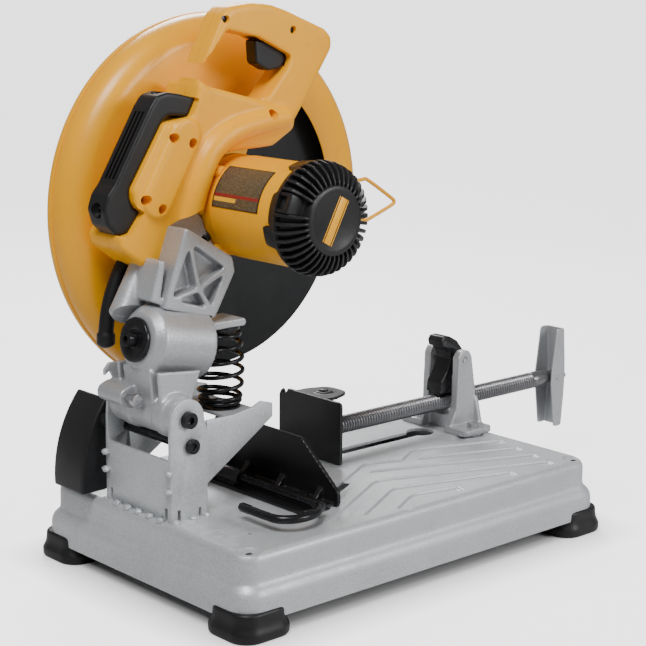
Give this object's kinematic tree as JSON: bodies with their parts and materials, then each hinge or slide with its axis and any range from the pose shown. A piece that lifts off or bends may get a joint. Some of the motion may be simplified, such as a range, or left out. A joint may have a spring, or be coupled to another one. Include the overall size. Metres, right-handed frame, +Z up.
{
  "type": "abrasive chop saw",
  "caption": "Bench chop saw: a pivoting motor head with a guarded abrasive wheel over a stamped base that carries a fence and a quick screw vise.",
  "frame": {"origin": "on the bench, at the centre of the four bench bolt holes under the rubber feet", "axes": "+Z up, square to the bench; +Y towards the head's pivot at the rear, -Y towards the operator and the vise crank; +X towards the wheel and guard"},
  "size_m": [0.346, 0.689, 0.573],
  "materials": {
    "base_paint": "satin",
    "cast_alloy": "satin",
    "yellow_plastic": "satin",
    "yellow_paint": "gloss",
    "black_plastic": "matte",
    "black_paint": "satin",
    "black_rubber": "matte",
    "black_steel": "satin",
    "zinc_steel": "satin",
    "bronze": "satin",
    "abrasive": "matte",
    "label_film": "satin"
  },
  "bodies": {
    "base": {"base_pan": "base_paint", "rubber_feet": "black_rubber", "pivot_bracket": "base_paint", "pivot_bolt": "black_steel", "stop_bolt": "black_steel", "spring_seat_lower": "zinc_steel", "return_spring": "black_steel", "deflector_screw": "zinc_steel", "vise_bracket": "cast_alloy", "vise_bracket_bolts": "zinc_steel", "lever_pin": "zinc_steel", "fence_pivot_bolt": "black_steel"},
    "deflector": {"spark_deflector": "black_plastic"},
    "release_lever": {"release_lever": "black_paint"},
    "vise_slide": {"jaw_block": "black_paint"},
    "vise_screw": {"vise_screw": "zinc_steel", "crank_handle": "cast_alloy", "crank_fasteners": "zinc_steel"},
    "vise_jaw": {"vise_jaw": "black_paint"},
    "fence": {"fence": "black_paint", "fence_clamp_bolt": "black_steel", "wrench_holder": "black_paint"},
    "wrench": {"hex_wrench": "black_steel"},
    "head": {"pivot_housing": "cast_alloy", "pivot_bushings": "bronze", "hub_cap": "black_steel", "hub_bolt": "black_steel", "spring_seat_upper": "zinc_steel", "gear_case": "cast_alloy", "gear_cover": "cast_alloy", "bearings": "zinc_steel", "field_core": "zinc_steel", "motor_housing": "yellow_plastic", "end_cap": "black_plastic", "brush_holders": "bronze", "upper_guard": "yellow_paint", "guard_screws": "zinc_steel", "handle_shell_left": "yellow_plastic", "handle_shell_right": "yellow_plastic", "handle_screws": "black_steel", "switch": "black_plastic", "carry_handle": "black_rubber", "cord_sleeve": "black_rubber", "rating_plate": "label_film"},
    "lock_pin": {"lock_pin": "zinc_steel"},
    "armature": {"armature_shaft": "zinc_steel", "armature_core": "zinc_steel", "commutator": "bronze", "cooling_fan": "black_plastic", "pinion": "zinc_steel"},
    "spindle": {"spindle": "zinc_steel", "drive_gear": "zinc_steel", "inner_flange": "zinc_steel", "outer_flange": "zinc_steel", "arbor_bolt": "zinc_steel", "abrasive_wheel": "abrasive"},
    "lower_guard": {"lower_guard": "yellow_paint", "guard_handle": "yellow_paint"},
    "trigger": {"trigger": "black_plastic"},
    "spindle_lock": {"spindle_lock": "black_plastic"}
  },
  "joints": [
    {"name": "head_pivot", "type": "hinge", "parent": "base", "child": "head", "pos_m": [0.02, 0.217, 0.181], "axis": [1, 0, 0], "range_deg": [0, 33], "stiffness_Nm_per_rad": 26, "springref_deg": -45.84, "deforming": ["return_spring"]},
    {"name": "spindle_spin", "type": "hinge", "parent": "head", "child": "spindle", "pos_m": [0.11, 0.055, 0.36], "axis": [1, 0, 0], "continuous": true},
    {"name": "armature_spin", "type": "hinge", "parent": "head", "child": "armature", "pos_m": [0, 0.09, 0.37], "axis": [1, 0, 0], "continuous": true},
    {"name": "lower_guard_swing", "type": "hinge", "parent": "head", "child": "lower_guard", "pos_m": [0.12, 0.055, 0.36], "axis": [-1, 0, 0], "range_deg": [0, 60], "stiffness_Nm_per_rad": 1, "springref_deg": -68.75},
    {"name": "trigger_squeeze", "type": "hinge", "parent": "head", "child": "trigger", "pos_m": [0.055, 0.058, 0.533], "axis": [-1, 0, 0], "range_deg": [0, 5], "stiffness_Nm_per_rad": 1.5, "springref_deg": -17.19},
    {"name": "spindle_lock_press", "type": "slide", "parent": "head", "child": "spindle_lock", "axis": [0, -0.848, 0.5299], "range_m": [0, 0.003], "stiffness_N_per_m": 300, "springref_m": -0.005},
    {"name": "lock_pin_slide", "type": "slide", "parent": "head", "child": "lock_pin", "axis": [1, 0, 0], "range_m": [0, 0.011]},
    {"name": "deflector_tilt", "type": "hinge", "parent": "base", "child": "deflector", "pos_m": [0.08, 0.232, 0.16], "axis": [1, 0, 0], "range_deg": [0, 20]},
    {"name": "release_lever_flip", "type": "hinge", "parent": "base", "child": "release_lever", "pos_m": [0.04, -0.224, 0.165], "axis": [1, 0, 0], "range_deg": [0, 40]},
    {"name": "vise_travel", "type": "slide", "parent": "base", "child": "vise_slide", "axis": [0, 1, 0], "range_m": [-0.11, 0.04]},
    {"name": "vise_crank", "type": "hinge", "parent": "vise_slide", "child": "vise_screw", "pos_m": [0.04, -0.22, 0.112], "axis": [0, 1, 0], "continuous": true},
    {"name": "jaw_swivel", "type": "hinge", "parent": "vise_slide", "child": "vise_jaw", "pos_m": [0.04, -0.028, 0.12], "axis": [0, 0, 1], "range_deg": [0, 30]},
    {"name": "fence_swivel", "type": "hinge", "parent": "base", "child": "fence", "pos_m": [0.088, 0.098, 0.085], "axis": [0, 0, 1], "range_deg": [0, 30]},
    {"name": "wrench_pull", "type": "slide", "parent": "fence", "child": "wrench", "axis": [-1, 0, 0], "range_m": [0, 0.07]}
  ],
  "couplings": [
    {"joint": "armature_spin", "follows": "spindle_spin", "ratio": -4},
    {"joint": "vise_crank", "follows": "vise_travel", "rad_per_m": 1570.8},
    {"joint": "jaw_swivel", "follows": "fence_swivel", "ratio": 1}
  ]
}
